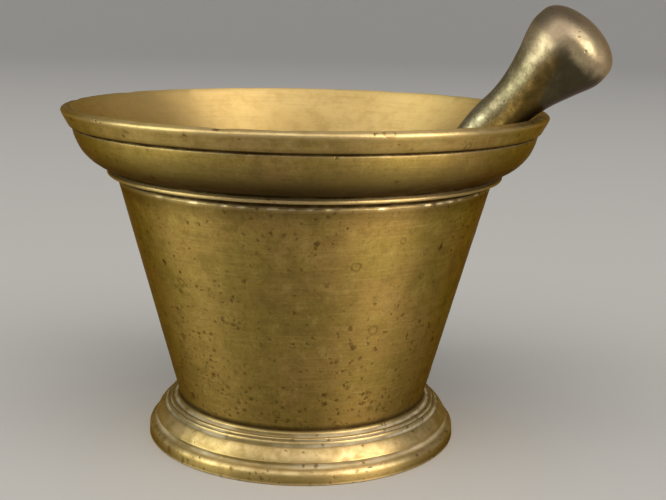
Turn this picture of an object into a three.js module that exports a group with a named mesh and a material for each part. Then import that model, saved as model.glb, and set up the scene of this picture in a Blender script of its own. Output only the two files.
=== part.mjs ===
// A cast bronze mortar with its double-ended pestle leaning on the lip.
// Millimetres, +Z up; the origin is the centre of the flat underside of the foot.
import * as THREE from "three";

// Driving dimensions of the mortar
const height = 125.8; // underside to the crest of the lip
const footRadius = 59.2;
const footEdgeRound = 2.4; // rounded top edge of the foot
const bodyBottom = new THREE.Vector2(47.6, 15.9);
const bodyTop = new THREE.Vector2(69.6, 98.7);
const beadRadius = 73.6; // thin bead between the body and the swelling below the lip
const beadSize = 0.85; // half the thickness of that bead
const beadLevel = 101.7;
const swellBottom = new THREE.Vector2(72.3, 103.3);
const swellTop = new THREE.Vector2(85.6, 117.7);
const swellRound = 18;
const lipRadius = 89.5; // outermost, just under the top
const crestRadius = 86;
const floorThickness = 14;
const wallThickness = 6; // measured level, along the cone

// Driving dimensions of the pestle
const pestleLength = 186.7;
const shaftRadius = 5.6;
const headRadius = 16;
const domeHeight = 9.1; // from the widest ring of a head to its end
const domeFullness = 2.1; // 2 would be an ellipse
const leanFromLevel = 47; // degrees
const leanAzimuth = -15.9; // degrees from +X, towards -Y
const rimCrossing = 72.45; // how far from the mortar's axis the pestle's axis passes the rim plane
const headBeyondRim = 44; // end of the upper head, along the pestle from the rim plane

const mortarSides = 64;
const pestleSides = 32;

// Points of an arc about (x, y), angles in degrees, both ends included.
function arc(x, y, radius, from, to, steps) {
  const points = [];
  for (let i = 0; i <= steps; i += 1) {
    const angle = THREE.MathUtils.degToRad(from + ((to - from) * i) / steps);
    points.push(new THREE.Vector2(x + radius * Math.cos(angle), y + radius * Math.sin(angle)));
  }
  return points;
}

// Points of the arc of a given radius that swells to the right of the way from a to b.
function swell(a, b, radius, steps) {
  const chord = b.clone().sub(a);
  const half = chord.length() / 2;
  const toCentre = new THREE.Vector2(-chord.y, chord.x).normalize();
  const centre = a.clone().add(b).multiplyScalar(0.5);
  centre.addScaledVector(toCentre, Math.sqrt(radius * radius - half * half));
  const start = THREE.MathUtils.radToDeg(Math.atan2(a.y - centre.y, a.x - centre.x));
  const sweep = THREE.MathUtils.radToDeg(2 * Math.asin(half / radius));
  return arc(centre.x, centre.y, radius, start, start + sweep, steps);
}

function points(pairs) {
  return pairs.map(([x, y]) => new THREE.Vector2(x, y));
}

// Foot: rounded band, groove, broad moulding, two fine reeds and a narrow ledge under the body.
function footProfile() {
  const edge = footRadius - footEdgeRound;
  return [
    ...points([[0, 0], [footRadius - 0.3, 0], [footRadius, 0.3]]),
    ...arc(edge, 3, footEdgeRound, 0, 90, 4),
    ...points([[56.1, 5.5], [55.8, 5.9], [55.9, 6.5]]),
    ...swell(new THREE.Vector2(56.6, 7.2), new THREE.Vector2(53.4, 11.7), 9, 4),
    ...points([[52.7, 11.8], [52.5, 12.2]]),
    ...arc(51.6, 12.7, 0.75, 0, 90, 2),
    ...points([[51, 13.2]]),
    ...arc(50.3, 13.5, 0.75, 20, 90, 2),
    ...points([[49.2, 14], [48.6, 14.4], [48.5, 15]]),
  ];
}

// Body, the groove above it, the thin bead and the swelling below the lip.
function bodyProfile() {
  return [
    bodyBottom,
    bodyTop,
    ...points([[68.9, 99.4], [68.9, 100.4]]),
    ...arc(beadRadius - beadSize, beadLevel, beadSize, -90, 90, 4),
    ...points([[71.3, 102.95]]),
    ...swell(swellBottom, swellTop, swellRound, 8),
    ...points([[84.9, 118.3]]),
  ];
}

// Slanting outer face of the lip and its rounded top.
function lipProfile() {
  return points([
    [86.8, height - 6.9],
    [lipRadius - 0.2, height - 2.2],
    [lipRadius, height - 1.4],
    [lipRadius - 0.5, height - 0.6],
    [lipRadius - 1.6, height - 0.15],
    [crestRadius, height],
    [84.7, height - 0.5],
    [83.4, height - 1.7],
  ]);
}

// Inside of the bowl, from the lip down to the middle of the floor.
function bowlProfile() {
  const slope = (bodyTop.x - bodyBottom.x) / (bodyTop.y - bodyBottom.y);
  const wall = (z) => new THREE.Vector2(bodyTop.x - wallThickness + (z - bodyTop.y) * slope, z);
  const flare = new THREE.CubicBezierCurve(
    new THREE.Vector2(82.3, height - 3),
    new THREE.Vector2(75, 114.5),
    wall(108),
    wall(97),
  );
  const round = new THREE.CubicBezierCurve(
    wall(42),
    wall(23),
    new THREE.Vector2(27, floorThickness),
    new THREE.Vector2(0, floorThickness),
  );
  return [...flare.getPoints(6), ...round.getPoints(9)];
}

// Half of the pestle from the middle of its shaft to the end of a head.
function pestleHalf() {
  const half = pestleLength / 2;
  const widest = half - domeHeight;
  const shaft = new THREE.SplineCurve(
    points([
      [shaftRadius, 0],
      [6.9, half - 66],
      [8.6, half - 50],
      [8.6, half - 39],
      [10.3, half - 30],
      [13.1, half - 22],
      [headRadius - 0.1, widest - 5],
      [headRadius, widest],
    ]),
  );
  const dome = [];
  const steps = 7;
  for (let i = 1; i <= steps; i += 1) {
    const angle = ((Math.PI / 2) * i) / steps;
    const radius = i === steps ? 0 : headRadius * Math.cos(angle) ** (2 / domeFullness);
    const rise = domeHeight * Math.sin(angle) ** (2 / domeFullness);
    dome.push(new THREE.Vector2(radius, widest + rise));
  }
  return [...shaft.getPoints(14), ...dome];
}

// A turned solid standing along +Z.
function turned(profile, sides) {
  return new THREE.LatheGeometry(profile, sides).rotateX(Math.PI / 2);
}

function makeMortar() {
  const profile = [...footProfile(), ...bodyProfile(), ...lipProfile(), ...bowlProfile()];
  const bronze = new THREE.MeshStandardMaterial({ color: 0x8c6c34, roughness: 0.38, metalness: 1 });
  const mesh = new THREE.Mesh(turned(profile, mortarSides), bronze);
  mesh.name = "mortar";
  return mesh;
}

function makePestle() {
  const upper = pestleHalf();
  const lower = upper.slice(1).map((p) => new THREE.Vector2(p.x, -p.y));
  const profile = [...lower.reverse(), ...upper];
  const bronze = new THREE.MeshStandardMaterial({ color: 0x7f6c43, roughness: 0.33, metalness: 1 });
  const mesh = new THREE.Mesh(turned(profile, pestleSides), bronze);
  mesh.name = "pestle";

  const lean = THREE.MathUtils.degToRad(leanFromLevel);
  const azimuth = THREE.MathUtils.degToRad(leanAzimuth);
  const along = headBeyondRim - pestleLength / 2;
  const fromAxis = rimCrossing + along * Math.cos(lean);
  mesh.rotation.set(0, Math.PI / 2 - lean, azimuth, "ZYX");
  mesh.position.set(
    fromAxis * Math.cos(azimuth),
    fromAxis * Math.sin(azimuth),
    height + along * Math.sin(lean),
  );
  return mesh;
}

const group = new THREE.Group();
group.name = "mortar_and_pestle";
group.add(makeMortar(), makePestle());

export default group;
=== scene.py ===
"""Looks of the cast bronze mortar and pestle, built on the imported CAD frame.

Outlines and driving dimensions are in millimetres; meshes, lights and camera are in metres, +Z up.
"""
import math

import bmesh
import bpy
import numpy as np
from mathutils import Matrix, Vector


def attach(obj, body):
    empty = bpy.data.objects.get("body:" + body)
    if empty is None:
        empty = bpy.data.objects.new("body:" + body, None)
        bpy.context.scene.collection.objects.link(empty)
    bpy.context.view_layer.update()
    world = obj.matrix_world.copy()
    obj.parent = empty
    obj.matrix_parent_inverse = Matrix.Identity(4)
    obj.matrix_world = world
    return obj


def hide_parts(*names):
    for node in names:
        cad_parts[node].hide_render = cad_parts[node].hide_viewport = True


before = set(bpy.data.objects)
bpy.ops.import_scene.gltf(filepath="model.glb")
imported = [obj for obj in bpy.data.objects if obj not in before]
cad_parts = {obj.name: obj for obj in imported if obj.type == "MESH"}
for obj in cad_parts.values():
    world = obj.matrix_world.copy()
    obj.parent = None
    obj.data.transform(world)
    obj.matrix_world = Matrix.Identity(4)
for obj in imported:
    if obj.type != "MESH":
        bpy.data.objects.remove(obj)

MM = 0.001
SEED = 4127
FULL_TURN = 2 * math.pi

# Driving dimensions of the mortar, as in the CAD model
HEIGHT = 125.8
FOOT_RADIUS = 59.2
FOOT_EDGE_ROUND = 2.4
BODY_BOTTOM = (47.6, 15.9)
BODY_TOP = (69.6, 98.7)
BEAD_RADIUS = 73.6
BEAD_SIZE = 0.85
BEAD_Z = 101.7
SWELL_BOTTOM = (72.3, 103.3)
SWELL_TOP = (85.6, 117.7)
SWELL_ROUND = 18
LIP_RADIUS = 89.5
CREST_RADIUS = 86
FLOOR_THICKNESS = 14
WALL_THICKNESS = 6

# Driving dimensions of the pestle, as in the CAD model
PESTLE_LENGTH = 186.7
SHAFT_RADIUS = 5.6
HEAD_RADIUS = 16
DOME_HEIGHT = 9.1
DOME_FULLNESS = 2.1
LEAN_FROM_LEVEL = 47
LEAN_AZIMUTH = -15.9
RIM_CROSSING = 72.45
HEAD_BEYOND_RIM = 44

# Fineness of the outlines and of the visual meshes
OUTLINE_GAP = 0.1
MORTAR_SIDES, MORTAR_ROWS = 384, 254
PESTLE_SIDES, PESTLE_ROWS = 128, 220

# The meshes stay this far inside the CAD surface, to leave room for unevenness
INSET = 0.1

# Camera: the place is in metres, the lens and sensor are in millimetres
CAMERA_PLACE = (0, -0.421275, 0.162488)
CAMERA_FORWARD = (0.02564867, 0.97675693, -0.21280988)
CAMERA_UP = (-0.01638646, 0.21326211, 0.97685759)
LENS = 60.84
SENSOR = 36


# ---------------------------------------------------------------- outlines

def arc(x, y, radius, start, end, steps):
    """Points of an arc about (x, y), angles in degrees."""
    angles = np.radians(np.linspace(start, end, steps + 1))
    return np.column_stack([x + radius * np.cos(angles), y + radius * np.sin(angles)])


def swell(a, b, radius, steps):
    """The arc of that radius that swells to the right of the way from a to b."""
    a, b = np.array(a, float), np.array(b, float)
    chord = b - a
    half = np.linalg.norm(chord) / 2
    to_centre = np.array([-chord[1], chord[0]]) / (2 * half)
    centre = (a + b) / 2 + to_centre * math.sqrt(radius ** 2 - half ** 2)
    start = math.degrees(math.atan2(a[1] - centre[1], a[0] - centre[0]))
    sweep = math.degrees(2 * math.asin(half / radius))
    return arc(centre[0], centre[1], radius, start, start + sweep, steps)


def bezier(a, b, c, d, steps):
    """Points of the cubic Bezier curve with those control points."""
    t = np.linspace(0, 1, steps + 1)[:, None]
    a, b, c, d = (np.array(p, float) for p in (a, b, c, d))
    return (1 - t) ** 3 * a + 3 * (1 - t) ** 2 * t * b + 3 * (1 - t) * t ** 2 * c + t ** 3 * d


def through(knots, steps):
    """A uniform Catmull-Rom curve through the knots."""
    knots = np.array(knots, float)
    padded = np.vstack([knots[0], knots, knots[-1]])
    pieces = []
    for p0, p1, p2, p3 in zip(padded, padded[1:], padded[2:], padded[3:]):
        t = np.linspace(0, 1, steps, endpoint=False)[:, None]
        v0, v1 = (p2 - p0) / 2, (p3 - p1) / 2
        cubic = (2 * p1 - 2 * p2 + v0 + v1) * t ** 3 + (-3 * p1 + 3 * p2 - 2 * v0 - v1) * t ** 2
        pieces.append(cubic + v0 * t + p1)
    return np.vstack(pieces + [knots[-1:]])


def foot_outline():
    """Underside, rounded band, groove, broad moulding, two fine reeds and a narrow ledge."""
    edge = FOOT_RADIUS - FOOT_EDGE_ROUND
    return np.vstack([
        [[0, 0], [FOOT_RADIUS - 0.3, 0], [FOOT_RADIUS, 0.3]],
        arc(edge, 3, FOOT_EDGE_ROUND, 0, 90, 12),
        [[56.1, 5.5], [55.8, 5.9], [55.9, 6.5]],
        swell((56.6, 7.2), (53.4, 11.7), 9, 14),
        [[52.7, 11.8], [52.5, 12.2]],
        arc(51.6, 12.7, 0.75, 0, 90, 6),
        [[51, 13.2]],
        arc(50.3, 13.5, 0.75, 20, 90, 6),
        [[49.2, 14], [48.6, 14.4], [48.5, 15]],
    ])


def body_outline():
    """Conical body, the groove above it, the thin bead and the swelling below the lip."""
    return np.vstack([
        [BODY_BOTTOM, BODY_TOP, [68.9, 99.4], [68.9, 100.4]],
        arc(BEAD_RADIUS - BEAD_SIZE, BEAD_Z, BEAD_SIZE, -90, 90, 10),
        [[71.3, 102.95]],
        swell(SWELL_BOTTOM, SWELL_TOP, SWELL_ROUND, 24),
        [[84.9, 118.3]],
    ])


def lip_outline():
    """Slanting outer face of the lip and its rounded top."""
    return np.array([
        [86.8, HEIGHT - 6.9],
        [LIP_RADIUS - 0.2, HEIGHT - 2.2],
        [LIP_RADIUS, HEIGHT - 1.4],
        [LIP_RADIUS - 0.5, HEIGHT - 0.6],
        [LIP_RADIUS - 1.6, HEIGHT - 0.15],
        [CREST_RADIUS, HEIGHT],
        [84.7, HEIGHT - 0.5],
        [83.4, HEIGHT - 1.7],
    ])


def bowl_outline():
    """Inside of the bowl, from the lip down to the middle of the floor."""
    slope = (BODY_TOP[0] - BODY_BOTTOM[0]) / (BODY_TOP[1] - BODY_BOTTOM[1])

    def wall(z):
        return (BODY_TOP[0] - WALL_THICKNESS + (z - BODY_TOP[1]) * slope, z)

    flare = bezier((82.3, HEIGHT - 3), (75, 114.5), wall(108), wall(97), 24)
    bottom = bezier(wall(42), wall(23), (27, FLOOR_THICKNESS), (0, FLOOR_THICKNESS), 36)
    return np.vstack([flare, bottom])


def pestle_outline():
    """The whole pestle from the end of its lower head to the end of its upper head."""
    half = PESTLE_LENGTH / 2
    widest = half - DOME_HEIGHT
    neck = through([
        (SHAFT_RADIUS, 0),
        (6.9, half - 66),
        (8.6, half - 50),
        (8.6, half - 39),
        (10.3, half - 30),
        (13.1, half - 22),
        (HEAD_RADIUS - 0.1, widest - 5),
        (HEAD_RADIUS, widest),
    ], 12)
    angles = np.radians(np.linspace(0, 90, 40)[1:])
    dome = np.column_stack([
        HEAD_RADIUS * np.cos(angles).clip(0) ** (2 / DOME_FULLNESS),
        widest + DOME_HEIGHT * np.sin(angles) ** (2 / DOME_FULLNESS),
    ])
    upper = np.vstack([neck, dome])
    lower = upper[:0:-1] * (1, -1)
    return np.vstack([lower, upper])


def evenly(outline, gap):
    """The outline with a point at about every gap along it, and the place of each point along it."""
    steps = np.linalg.norm(np.diff(outline, axis=0), axis=1)
    along = np.concatenate([[0], np.cumsum(steps)])
    at = np.linspace(0, along[-1], int(along[-1] / gap) + 1)
    return np.column_stack([np.interp(at, along, outline[:, k]) for k in (0, 1)]), at


def blurred(values, reach):
    """Values smoothed along the outline by a bell curve of that reach in points, ends kept."""
    width = int(4 * reach) + 1
    bell = np.exp(-0.5 * (np.arange(-width, width + 1) / reach) ** 2)
    padded = np.pad(values, width, mode="reflect", reflect_type="odd")
    return np.convolve(padded, bell / bell.sum(), "valid")


def worn(outline, round_edges):
    """The outline with its sharp corners rounded by wear over about round_edges millimetres."""
    fine, at = evenly(outline, OUTLINE_GAP)
    soft = np.column_stack([blurred(fine[:, k], round_edges / OUTLINE_GAP) for k in (0, 1)])
    soft[[0, -1], 0] = 0
    return soft, at


def bends(outline, reach):
    """How far the outline turns, in degrees, within reach millimetres of each point; positive is convex."""
    heading = np.unwrap(np.arctan2(*np.gradient(outline, axis=0).T[::-1]))
    gap = np.linalg.norm(np.diff(outline, axis=0), axis=1).mean()
    span = max(1, int(reach / gap))
    padded = np.pad(heading, span, mode="edge")
    return np.degrees(padded[2 * span:] - padded[:-2 * span])


def chosen_rows(outline, count, busy):
    """Which points of a fine outline become rows: more where it bends and where busy is high.

    Two millimetres of length count as much as 25 degrees of bend.
    """
    step = np.linalg.norm(np.gradient(outline, axis=0), axis=1)
    turn = np.abs(bends(outline, 0.15))
    weight = np.cumsum(busy * step / 2 + turn / 25)
    wanted = np.linspace(weight[0], weight[-1], count)
    return np.unique(np.searchsorted(weight, wanted).clip(0, len(outline) - 1))


# ---------------------------------------------------------------- surface variation

def ramp(values, start, end):
    """0 before start and 1 after end, evenly between; end may be below start."""
    return np.clip((values - start) / (end - start), 0, 1)


def band(values, low, high, soft):
    """1 between low and high, falling to 0 over soft."""
    return np.clip((values - low) / soft + 1, 0, 1) * np.clip((high - values) / soft + 1, 0, 1)


def ripple(draw, angle, along, most_round, shortest, waves):
    """Smooth variation of about -1 to 1 that closes around the piece; along and shortest in millimetres."""
    total = np.zeros(np.broadcast(angle, along).shape)
    for _ in range(waves):
        turns = draw.integers(0, most_round + 1)
        pace = FULL_TURN * draw.uniform(-1, 1) / shortest
        total += np.cos(turns * angle + pace * along + draw.uniform(0, FULL_TURN))
    usual_peak = 1.6 * math.sqrt(waves / 2)
    return total / usual_peak


def dents(draw, angle, along, radius, places, sizes, depths):
    """Sum of round hollows, in millimetres deep; places gives (low, high, count) along the outline."""
    total = np.zeros(np.broadcast(angle, along).shape)
    for low, high, count in places:
        for _ in range(count):
            spin, at = draw.uniform(0, FULL_TURN), draw.uniform(low, high)
            size, depth = draw.uniform(*sizes), draw.uniform(*depths)
            around = (angle - spin + math.pi) % FULL_TURN - math.pi
            away = ((around * radius) ** 2 + (along - at) ** 2) / size ** 2
            total += depth * np.exp(-away)
    return total


# ---------------------------------------------------------------- meshes

def turned_mesh(name, rings, values):
    """A closed mesh from rings[row, side] of points in metres, whose first and last rows are on the axis.

    values gives named numbers, one for each row and side, that the material reads.
    """
    rows, sides = rings.shape[:2]
    inner = rings[1:-1].reshape(-1, 3)
    points = np.vstack([rings[0].mean(0), inner, rings[-1].mean(0)])
    last = len(points) - 1
    side = np.arange(sides)
    after = (side + 1) % sides
    faces = [(0, 1 + b, 1 + a) for a, b in zip(side, after)]
    for row in range(rows - 3):
        start = 1 + row * sides
        quads = np.column_stack([start + side, start + after, start + sides + after, start + sides + side])
        faces.extend(map(tuple, quads.tolist()))
    end = 1 + (rows - 3) * sides
    faces.extend((last, end + a, end + b) for a, b in zip(side, after))
    mesh = bpy.data.meshes.new(name)
    mesh.from_pydata(points.tolist(), [], [tuple(int(v) for v in f) for f in faces])
    mesh.polygons.foreach_set("use_smooth", np.ones(len(mesh.polygons), bool))
    for key, grid in values.items():
        flat = np.concatenate([[grid[0].mean()], grid[1:-1].ravel(), [grid[-1].mean()]])
        attribute = mesh.attributes.new(key, "FLOAT", "POINT")
        attribute.data.foreach_set("value", flat.astype(np.float32))
    mesh.update()
    piece = bpy.data.objects.new(name, mesh)
    bpy.context.scene.collection.objects.link(piece)
    return piece


def revolved(rows, normals, angle, offset):
    """Points in metres of an outline turned about Z and moved along its normals by offset[row, side]."""
    r = rows[:, None, 0] + normals[:, None, 0] * offset
    z = rows[:, None, 1] + normals[:, None, 1] * offset
    return np.stack([r * np.cos(angle), r * np.sin(angle), z], -1) * MM


def outward(outline):
    """Unit normals of the outline that point out of the solid."""
    way = np.gradient(outline, axis=0)
    return np.column_stack([way[:, 1], -way[:, 0]]) / np.linalg.norm(way, axis=1)[:, None]


def all_round(sides):
    """The angle of each side of a turned mesh, as one row."""
    return np.linspace(0, FULL_TURN, sides, endpoint=False)[None, :]


# ---------------------------------------------------------------- mortar

def mortar_outline():
    """The outline softened by wear, less so at the foot, and the place of each point along it."""
    sharp = np.vstack([foot_outline(), body_outline(), lip_outline(), bowl_outline()])
    fine, at = worn(sharp, 0.22)
    crisp, _ = worn(sharp, 0.12)
    fine += (crisp - fine) * ramp(fine[:, 1:2], 20, 16)
    return fine, at


def near_body_edge(z):
    """True at the heights close to the top edge of the body."""
    return np.abs(z - BODY_TOP[1]) < 1.2


def mortar_rows(fine, inside):
    """Which points become rows of the mesh: few where nothing shows, many at the body's top edge."""
    z = fine[:, 1]
    underside = (z < 0.02) & (inside == 0)
    hidden = (inside == 1) & (z < 60)
    at_edge = near_body_edge(z) & (inside == 0)
    busy = np.where(underside, 0.2, np.where(hidden, 0.7, np.where(at_edge, 3.0, 1.0)))
    return chosen_rows(fine, MORTAR_ROWS, busy)


def mortar_corners(fine):
    """How sharply each point of the outline bends outwards and inwards, each from 0 to 1."""
    turn = bends(fine, 0.5)
    ridge = ramp(blurred(np.clip(turn, 0, 90), 2), 0, 45)
    hollow = ramp(blurred(np.clip(-turn, 0, 90), 3), 0, 38)
    return ridge, hollow


def mortar_wear(fine, ridge, outside):
    """How far each height is rubbed bright: on the ridges, less under the lip and at the body's edge."""
    z = fine[:, 1]
    at_edge = near_body_edge(z) & (outside == 1)
    sheltered = band(z, SWELL_TOP[1] - 2, HEIGHT - 5.5, 0.5) * outside
    on_bead = band(z, BEAD_Z - BEAD_SIZE, BEAD_Z + BEAD_SIZE, 0.2) * outside
    return ridge * np.where(at_edge, 0.5, 1) * (1 - 0.85 * sheltered) * (1 - 0.25 * on_bead)


def mortar_dirt_and_shade(fine, ridge, hollow, outside):
    """How much dirt and painted shade each height holds: in the hollows, the recess under the swelling and
    the groove of the lip.
    """
    z = fine[:, 1]
    recess = band(z, BODY_TOP[1] + 0.7, SWELL_BOTTOM[1] + 0.3, 0.4)
    under_lip = band(z, SWELL_TOP[1], HEIGHT - 6.95, 0.3)
    dirt_and_shade = np.maximum(hollow, np.maximum(recess, under_lip) * outside)
    return dirt_and_shade * (1 - np.clip(ridge * 1.6, 0, 1))


def mortar_shade(fine, painted_hollow_shade, outside):
    """How dark each height is painted: painted shade under the swelling, just under it on the body and in
    the hollows of the foot; also darker low on the body and at the bottom of the foot.
    """
    z = fine[:, 1]
    downward = -outward(fine)[:, 1]
    below_lip_face = (z > BODY_TOP[1]) & (z <= HEIGHT - 7)
    # Painted shade under the swelling, where the surface faces down
    overhung = 0.68 * ramp(downward, 0.273, 0.727) + 0.28 * ramp(downward, 0.66, 0.86)
    on_body = band(z, BODY_BOTTOM[1], BODY_TOP[1], 0.1)
    # Darker towards the bottom of the body, and painted shade just under the swelling
    body_darkening = 0.1 * ramp(z, 88, 68) + 0.08 * ramp(z, 62, 20) + 0.45 * ramp(z, 92, 98)
    broad = blurred((overhung * below_lip_face + body_darkening * on_body) * outside, 6)
    # Darker at the bottom of the foot
    skirt = 0.35 * band(z, 0, 2.2, 1) * outside
    return np.maximum(broad, blurred(0.6 * painted_hollow_shade + skirt, 1))


def mortar_top_light(fine, painted_hollow_shade, outside):
    """Painted light: how much lighter each height is painted where it faces up, and a little on the lip's
    face.
    """
    z = fine[:, 1]
    upward = np.clip(outward(fine)[:, 1] * 1.8 - 0.1, 0, 0.74)
    lip_face = band(z, HEIGHT - 6.5, HEIGHT - 2.2, 0.5)
    return blurred(np.maximum(upward, 0.15 * lip_face) * outside * (1 - 0.9 * painted_hollow_shade), 1)


def pitted(draw, rows, angle, place):
    """How densely the metal is pitted, from 0 to 1: most low on the body, and in patches."""
    z = rows[:, 1:2]
    patches = np.clip(ripple(draw, angle, place, 6, 30, 16) * 0.9, -0.5, 1)
    moulding = band(z, 5.3, BODY_BOTTOM[1], 0.5)
    head = ramp(z, BODY_TOP[1], BODY_TOP[1] + 2)
    foot = ramp(z, BODY_BOTTOM[1], BODY_BOTTOM[1] - 1)
    density = np.clip(0.14 + 0.55 * ramp(z, 66, 30) + 0.4 * patches, 0.03, 1)
    return density * (1 - 0.7 * moulding) * (1 - 0.7 * head) * (1 - 0.4 * foot)


def mortar_relief(draw, rows, angle, place, crest_at, body_at):
    """Unevenness, and dents in the lip, body and foot, as millimetres along the normals.

    Dents lie between places along the outline, counted from the middle of the underside.
    """
    radius = rows[:, 0:1]
    offset = 0.07 * ripple(draw, angle, place, 5, 60, 14) - INSET
    offset += 0.035 * ripple(draw, angle, place, 40, 7, 40)
    on_lip = [(crest_at - 3.5, crest_at + 2.5, 26)]
    on_body = [(body_at, body_at + 80, 60)]
    on_foot = [(60, 82, 30)]
    offset -= dents(draw, angle, place, radius, on_lip, (1.2, 3.6), (0.05, 0.3))
    offset -= dents(draw, angle, place, radius, on_body, (1.2, 3.0), (0.04, 0.14))
    offset -= dents(draw, angle, place, radius, on_foot, (1.0, 2.6), (0.05, 0.2))
    return offset


def edge_chips(draw, rows, angle, outside):
    """Chips along the top edge of the body, most of them at the front on the right."""
    near_edge = band(rows[:, 1:2], BODY_TOP[1] - 0.25, BODY_TOP[1] + 0.25, 0.2) * outside
    ragged = np.clip(ripple(draw, angle, np.zeros_like(near_edge), 75, 40, 90) * 2 - 0.9, 0, 1)
    at_right = 0.28 + 0.72 * np.clip(np.cos(angle - math.radians(-55)), 0, 1)
    return near_edge * ragged * at_right


def make_mortar():
    """The mortar as one mesh, with what its material reads at each point."""
    fine, at = mortar_outline()
    crest = int(np.argmax(fine[:, 1]))
    inside = (np.arange(len(fine)) > crest).astype(float)
    outside = 1 - inside
    keep = mortar_rows(fine, inside)

    ridge, hollow = mortar_corners(fine)
    dirt_and_shade = mortar_dirt_and_shade(fine, ridge, hollow, outside)
    at_foot = (fine[:, 1] < BODY_BOTTOM[1] - 0.6) * outside
    # Painted shade in the hollows of the foot and where the body meets its ledge; these bands also get less
    # painted light
    foot_hollows = [(15.25, 17), (14.2, 14.75), (13.3, 13.7), (11.8, 12.9)]
    painted_hollow_shade = sum(band(fine[:, 1], low, high, 0.15) for low, high in foot_hollows) * outside

    rows, normals, place = fine[keep], outward(fine)[keep], at[keep][:, None]
    angle = all_round(MORTAR_SIDES)
    draw = np.random.default_rng(SEED)
    above_foot = (fine[:, 1] > 18) & (outside == 1)
    body_at = at[np.argmax(above_foot)]
    offset = mortar_relief(draw, rows, angle, place, at[crest], body_at)
    chips = edge_chips(draw, rows, angle, outside[keep][:, None])
    offset -= 0.45 * chips
    settled = ramp(rows[:, 0:1], 0, 12) * np.where(rows[:, 1:2] < 0.9, 0, 1)
    rings = revolved(rows, normals, angle, offset * settled)

    by_height = {
        "wear": mortar_wear(fine, ridge, outside),
        "dirt_and_shade": dirt_and_shade * (1 - at_foot),
        "residue": dirt_and_shade * at_foot,
        "shaded": mortar_shade(fine, painted_hollow_shade, outside),
        "painted_top_light": mortar_top_light(fine, painted_hollow_shade, outside),
        "inside": inside,
        # Painted shade deep in the bowl, growing from 118 mm down to 90 mm
        "deep": ramp(fine[:, 1], 118, 90) * inside,
    }
    values = {key: np.repeat(line[keep][:, None], MORTAR_SIDES, axis=1) for key, line in by_height.items()}
    values["pitted"] = pitted(draw, rows, angle, place)
    values["chip"] = np.clip(chips * 2.2, 0, 1)
    return turned_mesh("mortar_casting", rings, values)


# ---------------------------------------------------------------- pestle

def pestle_relief(draw, rows, angle, place, length):
    """Unevenness and dents near both ends, as millimetres along the normals."""
    offset = 0.06 * ripple(draw, angle, place, 3, 45, 12) - INSET
    offset += 0.025 * ripple(draw, angle, place, 14, 8, 30)
    ends = [(0, 30, 24), (length - 42, length - 6, 26)]
    return offset - dents(draw, angle, place, rows[:, 0:1] + 1, ends, (0.9, 2.4), (0.03, 0.16))


def pestle_turn():
    """From the pestle's own axis to its place, leaning on the lip of the mortar."""
    lean, azimuth = math.radians(LEAN_FROM_LEVEL), math.radians(LEAN_AZIMUTH)
    back = HEAD_BEYOND_RIM - PESTLE_LENGTH / 2
    from_axis = RIM_CROSSING + back * math.cos(lean)
    middle = Vector((
        from_axis * math.cos(azimuth),
        from_axis * math.sin(azimuth),
        HEIGHT + back * math.sin(lean),
    )) * MM
    turn = Matrix.Rotation(azimuth, 4, "Z") @ Matrix.Rotation(math.pi / 2 - lean, 4, "Y")
    return Matrix.Translation(middle) @ turn


def make_pestle():
    """The pestle as one mesh, leaning in the bowl, with what its material reads at each point."""
    fine, at = worn(pestle_outline(), 0.8)
    keep = chosen_rows(fine, PESTLE_ROWS, np.ones(len(fine)))
    rows, normals, place = fine[keep], outward(fine)[keep], at[keep][:, None]
    angle = all_round(PESTLE_SIDES)
    draw = np.random.default_rng(SEED + 1)
    settled = ramp(rows[:, 0:1], 0, 6)
    offset = pestle_relief(draw, rows, angle, place, at[-1])
    rings = revolved(rows, normals, angle, offset * settled)

    from_end = PESTLE_LENGTH / 2 - rows[:, 1:2]
    dome = ramp(from_end, 15, 9)
    neck = ramp(from_end, 54, 32)
    down = np.cos(angle)
    flat = np.ones((1, PESTLE_SIDES))
    values = {
        "head": ramp(from_end, 30, 4) * flat,
        "foot_end": ramp(-rows[:, 1:2], 55, 77) * flat,
        # Painted shade on the side that faces down, reaching further round at the neck and fading on the
        # dome
        "under": ramp(down + 0.65 * neck, 0.3, 0.9) * settled * (1 - 0.9 * dome),
        # A dusky patch on the upper side of the head, partly its patina and partly painted shade that
        # darkens the top light's reflection
        "crown": band(from_end, 3, 12, 3) * ramp(down, 0.1, -0.4),
    }
    piece = turned_mesh("pestle_casting", rings, values)
    piece.data.transform(pestle_turn())
    return piece


# ---------------------------------------------------------------- materials

# Colours of the bronze, of what lies on it and of painted light and shade, as linear red, green and blue
OLIVE_BRONZE, AMBER_BRONZE = (0.318, 0.228, 0.053), (0.355, 0.232, 0.066)
CLOUDY_BROWN, CLOUDY_GOLD = (0.228, 0.155, 0.038), (0.43, 0.3, 0.096)
MOTTLED_BROWN, MOTTLED_GOLD = (0.22, 0.15, 0.038), (0.46, 0.335, 0.102)
STREAK_BROWN, STREAK_GOLD = (0.2, 0.14, 0.036), (0.48, 0.35, 0.112)
# Grain colour, and the colour of painted shade
GRAIN_BROWN, PAINTED_SHADE_BROWN = (0.17, 0.115, 0.03), (0.032, 0.02, 0.005)
# Pale metal of the worn ridges, also used as painted light on faces that look up
WORN_AND_LIT_PALE, WORN_AND_LIT_GOLD = (0.8, 0.62, 0.32), (0.62, 0.45, 0.19)
# Inside colours: a lighter copy of the bronze, painted light for the lamps' light gathered in the bowl
INSIDE_LIT_PALE, INSIDE_LIT_GOLD = (0.79, 0.59, 0.25), (0.72, 0.525, 0.21)
INSIDE_LIT_MOTTLE, INSIDE_LIT_STREAK = (0.6, 0.43, 0.17), (0.5, 0.35, 0.13)
# Colour of the painted shade deep in the bowl
INSIDE_SHADE = (0.34, 0.225, 0.07)
BARE_METAL = (0.88, 0.74, 0.46)
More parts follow.
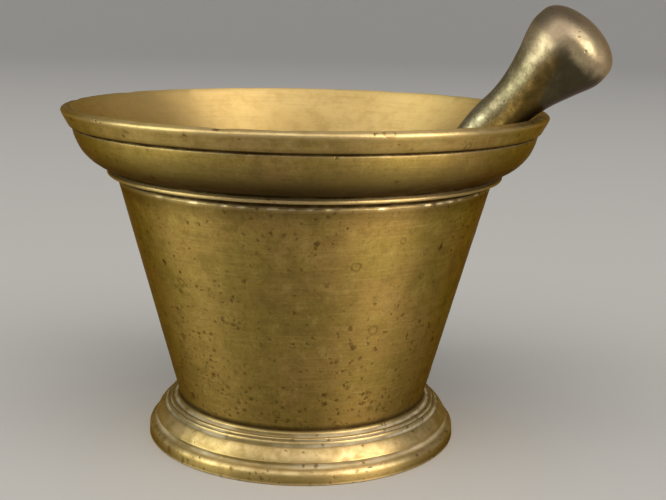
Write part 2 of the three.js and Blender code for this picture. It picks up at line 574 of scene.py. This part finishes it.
# Dark groove colour for dirt and painted shade, then pit and ring marks
GROOVE_DIRT_AND_SHADE, PIT_BROWN, RING_BROWN = (0.05, 0.03, 0.008), (0.085, 0.047, 0.012), (0.1, 0.06, 0.018)
DUST_BROWN, DUST_PALE = (0.2, 0.16, 0.08), (0.55, 0.5, 0.36)

PESTLE_OLIVE, PESTLE_PALE = (0.29, 0.25, 0.135), (0.48, 0.42, 0.28)
PESTLE_MOTTLE, PESTLE_FLECK = (0.14, 0.113, 0.055), (0.56, 0.5, 0.36)
PESTLE_GRAIN, PESTLE_PIT = (0.1, 0.08, 0.038), (0.05, 0.038, 0.016)
HEAD_TAN, HEAD_COPPER, HEAD_DUSK_AND_SHADE = (0.5, 0.42, 0.27), (0.52, 0.34, 0.2), (0.22, 0.165, 0.11)
GRINDING_GOLD, PAINTED_UNDERSIDE_SHADE = (0.46, 0.35, 0.16), (0.038, 0.03, 0.01)

# What the metal reflects at grazing angles, and how blurred the wax on the pestle is
EDGE_TINT = (0.5, 0.33, 0.1, 1)
COAT_ROUGHNESS = 0.22


class Shader:
    """Adds and joins the nodes of one material."""

    def __init__(self, name):
        self.material = bpy.data.materials.new(name)
        self.material.use_nodes = True
        self.tree = self.material.node_tree
        self.tree.nodes.clear()
        self.place = self.add("ShaderNodeTexCoord").outputs["Object"]

    def add(self, kind, inputs=None, **settings):
        """A new node with its inputs and its own settings filled in."""
        node = self.tree.nodes.new(kind)
        for key, value in settings.items():
            setattr(node, key, value)
        for key, value in (inputs or {}).items():
            self.put(node.inputs[key], value)
        return node

    def put(self, socket, value):
        """Fills one input from another node's output, a colour or a number."""
        if isinstance(value, bpy.types.NodeSocket):
            self.tree.links.new(value, socket)
        elif hasattr(value, "__len__") and len(value) == 3 and socket.type == "RGBA":
            socket.default_value = (*value, 1)
        else:
            socket.default_value = value

    def value(self, name):
        """A number that the mesh holds at each point."""
        return self.add("ShaderNodeAttribute", attribute_name=name).outputs["Fac"]

    def maths(self, kind, a, b=0.0, c=0.0, clamp=False):
        """Result of one arithmetic node."""
        node = self.add("ShaderNodeMath", {0: a, 1: b, 2: c}, operation=kind, use_clamp=clamp)
        return node.outputs[0]

    def times(self, a, b):
        return self.maths("MULTIPLY", a, b)

    def plus(self, total, parts):
        """total plus each value of parts times its weight."""
        for value, weight in parts:
            total = self.maths("MULTIPLY_ADD", value, weight, total)
        return total

    def stretched(self, x, y, z):
        """The place on the piece with each axis scaled."""
        node = self.add("ShaderNodeVectorMath", {0: self.place, 1: (x, y, z)}, operation="MULTIPLY")
        return node.outputs[0]

    def noise(self, scale, detail=3.0, rough=0.55, place=None):
        """Cloudy variation between 0 and 1; scale is features for each metre."""
        inputs = {
            "Vector": self.place if place is None else place,
            "Scale": scale,
            "Detail": detail,
            "Roughness": rough,
        }
        return self.add("ShaderNodeTexNoise", inputs).outputs["Fac"]

    def between(self, value, low, high, to_low=0.0, to_high=1.0):
        """value taken smoothly from low..high to to_low..to_high."""
        inputs = {"Value": value, "From Min": low, "From Max": high, "To Min": to_low, "To Max": to_high}
        node = self.add("ShaderNodeMapRange", inputs, interpolation_type="SMOOTHSTEP")
        return node.outputs["Result"]

    def mix(self, share, a, b):
        """Colour a turning into colour b as share goes from 0 to 1."""
        node = self.add("ShaderNodeMix", data_type="RGBA", clamp_factor=True)
        self.put(node.inputs[0], share)
        self.put(node.inputs[6], a)
        self.put(node.inputs[7], b)
        return node.outputs[2]

    def layered(self, colour, layers):
        """colour under layers of (value, start, end, most, over): none of over at start, most at end."""
        for value, start, end, most, over in layers:
            colour = self.mix(self.between(value, start, end, 0, most), colour, over)
        return colour

    def ragged(self, scale, reach):
        """The place on the piece, shifted about by up to reach metres, for uneven shapes."""
        clouds = self.add("ShaderNodeTexNoise", {"Vector": self.place, "Scale": scale, "Detail": 3.0})
        inputs = {0: clouds.outputs["Color"], 1: (reach, reach, reach), 2: self.place}
        return self.add("ShaderNodeVectorMath", inputs, operation="MULTIPLY_ADD").outputs[0]

    def spots(self, scale, share, smallest, largest, place):
        """Spots in that share of the cells, 1 inside and 0 outside; sizes as shares of a cell.

        Also gives the distance from the middle of the spot, in radii of the spot.
        """
        inputs = {"Vector": place, "Scale": scale, "Randomness": 1.0}
        cells = self.add("ShaderNodeTexVoronoi", inputs, voronoi_dimensions="3D", feature="F1")
        parts = self.add("ShaderNodeSeparateColor", {"Color": cells.outputs["Color"]})
        size = self.between(parts.outputs[1], 0, 1, smallest, largest)
        shown = self.maths("LESS_THAN", parts.outputs[0], share)
        radius = self.maths("MAXIMUM", self.times(size, shown), 0.0001)
        away = self.maths("DIVIDE", cells.outputs["Distance"], radius)
        return self.between(away, 0.35, 1.1, 1, 0), away

    def bronze(self, colour, metallic, roughness, height, turned=0.0, waxed=0.0):
        """The finished shader: height is in millimetres; turned spreads gloss across the turning lines."""
        bump = self.add("ShaderNodeBump", {"Strength": 1.0, "Distance": MM, "Height": height})
        around = self.add("ShaderNodeTangent", direction_type="RADIAL", axis="Z")
        inputs = {
            "Coat Weight": waxed,
            "Coat Roughness": COAT_ROUGHNESS,
            "Anisotropic": turned,
            "Anisotropic Rotation": 0.25,
            "Tangent": around.outputs[0],
            "Base Color": colour,
            "Metallic": metallic,
            "Specular Tint": EDGE_TINT,
            "Roughness": roughness,
            "Normal": bump.outputs[0],
        }
        shader = self.add("ShaderNodeBsdfPrincipled", inputs)
        output = self.add("ShaderNodeOutputMaterial")
        self.tree.links.new(shader.outputs[0], output.inputs["Surface"])
        return self.material


def pits_and_rings(s, density, outside):
    """Pits of two sizes where the metal is pitted, and faint ring marks; each from 0 to 1."""
    uneven_place = s.ragged(800, 0.0022)
    share = s.times(s.times(density, 0.9), outside)
    small, _ = s.spots(480, share, 0.2, 0.5, uneven_place)
    large, _ = s.spots(230, s.times(share, 0.45), 0.16, 0.36, uneven_place)
    pits = s.maths("MAXIMUM", s.times(small, 0.8), large)
    _, away = s.spots(120, s.times(outside, 0.2), 0.14, 0.24, s.ragged(600, 0.002))
    ring = s.times(s.between(away, 0.55, 0.9), s.between(away, 0.95, 1.3, 1, 0))
    return pits, ring


def mortar_bronze():
    """Old turned bronze: mottled brown patina, bright worn edges, dark grooves, pits and ring marks;
    painted shade in the grooves, under the swelling and deep in the bowl, and painted light on faces that
    look up and inside the bowl.
    """
    s = Shader("mortar_bronze_patina")
    wear, dirt_and_shade, residue = s.value("wear"), s.value("dirt_and_shade"), s.value("residue")
    inside, chip, density = s.value("inside"), s.value("chip"), s.value("pitted")
    shaded, painted_top_light, deep = s.value("shaded"), s.value("painted_top_light"), s.value("deep")
    clouds = s.noise(26, 2, 0.5)
    tint = s.noise(40, 3, 0.5)
    uneven = s.noise(140, 3)
    mottle = s.noise(190, 6, 0.66)
    grain = s.noise(900, 4, 0.75)
    turning = s.noise(1, 3, 0.7, place=s.stretched(60, 60, 1300))
    outside = s.maths("SUBTRACT", 1.0, inside)
    pits, ring = pits_and_rings(s, density, outside)

    colour = s.mix(s.between(tint, 0.38, 0.62), OLIVE_BRONZE, AMBER_BRONZE)
    colour = s.layered(colour, [
        (clouds, 0.38, 0.66, 0.34, CLOUDY_BROWN),
        (clouds, 0.42, 0.3, 0.4, CLOUDY_GOLD),
        (mottle, 0.48, 0.64, 0.6, MOTTLED_BROWN),
        (mottle, 0.46, 0.34, 0.5, MOTTLED_GOLD),
        (turning, 0.5, 0.7, 0.35, STREAK_BROWN),
        (turning, 0.48, 0.3, 0.3, STREAK_GOLD),
        (grain, 0.5, 0.68, 0.55, GRAIN_BROWN),
    ])
    # Painted shade: the colour darkens as shaded rises
    colour = s.mix(shaded, colour, PAINTED_SHADE_BROWN)

    # Worn ridges are rubbed bright; faces that look up get painted light in the same pale colour
    worn_and_lit_metal = s.mix(s.between(mottle, 0.35, 0.75), WORN_AND_LIT_PALE, WORN_AND_LIT_GOLD)
    rubbed = s.times(wear, s.between(mottle, 0.3, 0.6, 0.35, 0.8))
    top_lit = s.times(painted_top_light, s.between(mottle, 0.36, 0.6, 1, 0.8))
    colour = s.mix(s.maths("MAXIMUM", top_lit, rubbed), colour, worn_and_lit_metal)

    # Painted light: the inside is painted in a lighter copy of the bronze
    lit_inside = s.mix(s.between(clouds, 0.35, 0.65), INSIDE_LIT_PALE, INSIDE_LIT_GOLD)
    lit_inside = s.layered(lit_inside, [
        (mottle, 0.45, 0.7, 0.35, INSIDE_LIT_MOTTLE),
        (turning, 0.5, 0.72, 0.25, INSIDE_LIT_STREAK),
    ])
    # Painted shade deeper in the bowl
    lit_inside = s.mix(s.times(deep, 0.65), lit_inside, INSIDE_SHADE)
    colour = s.mix(inside, colour, lit_inside)
    colour = s.mix(chip, colour, BARE_METAL)

    packed_dirt_and_shade = s.times(dirt_and_shade, s.between(uneven, 0.3, 0.6, 0.7, 1))
    crusted = s.times(residue, s.between(uneven, 0.3, 0.65, 0.4, 0.8))
    # Dirt and painted shade in the hollows, the recess and the groove of the lip
    colour = s.mix(packed_dirt_and_shade, colour, GROOVE_DIRT_AND_SHADE)
    colour = s.mix(crusted, colour, s.mix(s.between(tint, 0.4, 0.6), DUST_BROWN, DUST_PALE))
    colour = s.mix(s.times(pits, 0.8), colour, PIT_BROWN)
    colour = s.mix(s.times(ring, 0.45), colour, RING_BROWN)

    dull = s.maths("MAXIMUM", packed_dirt_and_shade, crusted)
    rough = s.between(mottle, 0.3, 0.7, 0.48, 0.6)
    rough = s.plus(rough, [(dull, 0.25), (painted_top_light, -0.04), (rubbed, -0.16), (inside, 0.06)])
    coated = s.plus(0.0, [(crusted, 0.6), (packed_dirt_and_shade, 0.25)])
    metallic = s.maths("SUBTRACT", 1.0, coated, clamp=True)
    height = s.plus(0.0, [(turning, 0.02), (grain, 0.03), (mottle, 0.05), (pits, -0.08), (ring, -0.03)])
    return s.bronze(colour, metallic, rough, height, turned=0.75)


def pestle_bronze():
    """Smooth bronze, worn by handling: olive brown, mottled, with painted shade underneath, a dusky top to
    the head that is partly painted shade, small pits and a coppery head.
    """
    s = Shader("pestle_bronze_patina")
    head, foot_end = s.value("head"), s.value("foot_end")
    under, crown = s.value("under"), s.value("crown")
    clouds = s.noise(48, 3, 0.55)
    mottle = s.noise(230, 6, 0.66)
    grain = s.noise(1100, 3, 0.65)
    pits, _ = s.spots(420, 0.4, 0.12, 0.28, s.ragged(900, 0.0012))

    colour = s.mix(s.between(clouds, 0.38, 0.64), PESTLE_OLIVE, PESTLE_PALE)
    colour = s.layered(colour, [
        (mottle, 0.42, 0.6, 0.6, PESTLE_MOTTLE),
        (mottle, 0.44, 0.34, 0.5, PESTLE_FLECK),
        (grain, 0.48, 0.62, 0.45, PESTLE_GRAIN),
    ])
    copper = s.times(head, s.between(clouds, 0.36, 0.58))
    # Dusky patina and painted shade on the upper side of the head
    dusky = s.times(crown, s.between(clouds, 0.34, 0.6, 0.4, 0.75))
    # Painted shade on the underside, with a cloudy edge
    edge = s.maths("ADD", under, s.between(clouds, 0.36, 0.62, -0.3, 0.3))
    dark = s.times(s.between(edge, 0.2, 0.8), s.between(under, 0, 0.3))
    for share, over in [
        (s.times(head, 0.25), HEAD_TAN),
        (s.times(copper, 0.5), HEAD_COPPER),
        (s.times(foot_end, 0.7), GRINDING_GOLD),
        (dusky, HEAD_DUSK_AND_SHADE),
        (s.times(dark, 0.92), PAINTED_UNDERSIDE_SHADE),
        (s.times(pits, 0.55), PESTLE_PIT),
    ]:
        colour = s.mix(share, colour, over)

    rough = s.between(mottle, 0.3, 0.7, 0.36, 0.47)
    height = s.plus(0.0, [(mottle, 0.04), (grain, 0.015), (pits, -0.08)])
    return s.bronze(colour, 1.0, rough, height, waxed=0.35)


def floor_paint():
    """Plain pale matt floor."""
    material = bpy.data.materials.new("pale_floor")
    material.use_nodes = True
    shader = material.node_tree.nodes["Principled BSDF"]
    shader.inputs["Base Color"].default_value = (0.62, 0.61, 0.59, 1)
    shader.inputs["Roughness"].default_value = 0.8
    shader.inputs["Specular IOR Level"].default_value = 0.2
    return material


# ---------------------------------------------------------------- stage, light and camera

def make_floor():
    """A wide round floor whose edge far off curves up, so that it shows no horizon."""
    flat_to, bend, below = 3.0, 3.0, 0.00005
    outline = [(0, 0), (0.5, 0), (1.5, 0), *arc(flat_to, bend, bend, -90, 0, 12)]
    shape = bmesh.new()
    spots = [shape.verts.new((r, 0, z - below)) for r, z in outline]
    edges = [shape.edges.new(pair) for pair in zip(spots, spots[1:])]
    turn = {"axis": (0, 0, 1), "cent": (0, 0, 0), "angle": FULL_TURN, "steps": 96, "use_merge": True}
    bmesh.ops.spin(shape, geom=spots + edges, **turn)
    bmesh.ops.remove_doubles(shape, verts=shape.verts, dist=0.0001)
    bmesh.ops.recalc_face_normals(shape, faces=shape.faces)
    mesh = bpy.data.meshes.new("floor")
    shape.to_mesh(mesh)
    shape.free()
    mesh.polygons.foreach_set("use_smooth", np.ones(len(mesh.polygons), bool))
    floor = bpy.data.objects.new("floor", mesh)
    bpy.context.scene.collection.objects.link(floor)
    mesh.materials.append(floor_paint())


def make_light(name, azimuth, elevation, distance, size, watts, colour):
    """A soft box aimed at the object, azimuth in degrees from the front towards +X; returns its object."""
    target = Vector((0, 0, 0.09))
    around, up = math.radians(azimuth), math.radians(elevation)
    way = Vector((math.sin(around) * math.cos(up), -math.cos(around) * math.cos(up), math.sin(up)))
    lamp = bpy.data.lights.new(name, "AREA")
    lamp.shape = "RECTANGLE"
    lamp.size, lamp.size_y = size
    lamp.energy = watts
    lamp.color = colour
    thing = bpy.data.objects.new(name, lamp)
    bpy.context.scene.collection.objects.link(thing)
    thing.location = target + way * distance
    thing.rotation_euler = (-way).to_track_quat("-Z", "Y").to_euler()
    return thing


def make_lights(pieces):
    """Two low soft boxes that light only the pieces, and a large one above that lights everything."""
    left = make_light("soft_left", -74, 13, 1.1, (0.75, 0.75), 6, (0.95, 1.0, 0.84))
    right = make_light("soft_right", 48, 17, 1.1, (0.75, 0.75), 10, (1.0, 0.9, 0.8))
    make_light("soft_top", -4, 57, 3.0, (10.5, 3.0), 158, (1.0, 0.96, 0.9))
    lit = bpy.data.collections.new("lit_from_the_sides")
    for piece in pieces:
        lit.objects.link(piece)
    for side in (left, right):
        side.light_linking.receiver_collection = lit


def make_world():
    """Faint even light from all round."""
    world = bpy.data.worlds.new("studio")
    bpy.context.scene.world = world
    world.use_nodes = True
    background = world.node_tree.nodes["Background"]
    background.inputs["Color"].default_value = (0.95, 0.97, 1.0, 1)
    background.inputs["Strength"].default_value = 0.26


def make_camera():
    """The camera in front of the mortar, a little above its rim and looking slightly down."""
    data = bpy.data.cameras.new("camera")
    data.sensor_width = SENSOR
    data.lens = LENS
    data.clip_start, data.clip_end = 0.01, 60
    camera = bpy.data.objects.new("camera", data)
    bpy.context.scene.collection.objects.link(camera)
    forward, up = Vector(CAMERA_FORWARD), Vector(CAMERA_UP)
    right = forward.cross(up).normalized()
    turn = Matrix((right, up, -forward)).transposed().to_4x4()
    camera.matrix_world = Matrix.Translation(CAMERA_PLACE) @ turn
    bpy.context.scene.camera = camera


# ---------------------------------------------------------------- the object on its frame

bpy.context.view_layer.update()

mortar = make_mortar()
mortar.data.materials.append(mortar_bronze())
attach(mortar, "mortar")
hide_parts("mortar")

pestle = make_pestle()
pestle.data.materials.append(pestle_bronze())
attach(pestle, "pestle")
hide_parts("pestle")

make_floor()
make_lights([mortar, pestle])
make_world()
make_camera()
bpy.context.scene.view_settings.view_transform = "Standard"
